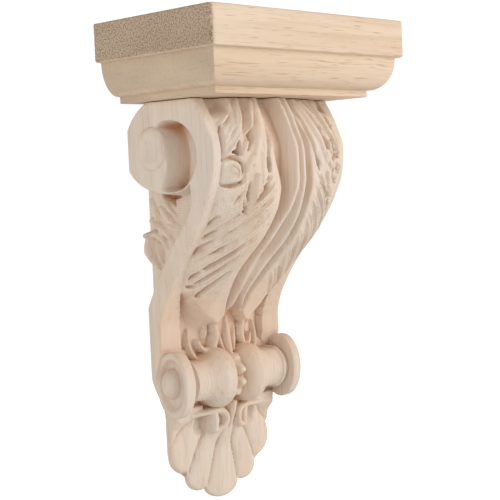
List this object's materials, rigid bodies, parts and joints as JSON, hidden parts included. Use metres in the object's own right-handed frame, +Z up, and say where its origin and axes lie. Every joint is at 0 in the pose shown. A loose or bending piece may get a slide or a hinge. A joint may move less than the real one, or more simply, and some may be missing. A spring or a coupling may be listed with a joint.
{
  "type": "carved wooden corbel",
  "caption": "Small wooden wall corbel with a moulded cap, scrolled sides, a carved acanthus front, a turned roll with end discs and a shell at the foot.",
  "frame": {"origin": "middle of the flat back, which lies against the wall, 105 mm below the top of the cap", "axes": "+Y into the wall, so the carved front faces -Y; +Z up, along the height; +X to the right seen from the front"},
  "size_m": [0.12, 0.07, 0.2114],
  "materials": {
    "cap_wood": "raw sanded pale hardwood, grain along the width, end grain on the ends",
    "carved_wood": "raw machine-carved pale hardwood, grain along the height"
  },
  "bodies": {
    "root": {"cap": "cap_wood", "carved_bracket": "carved_wood"}
  },
  "joints": []
}
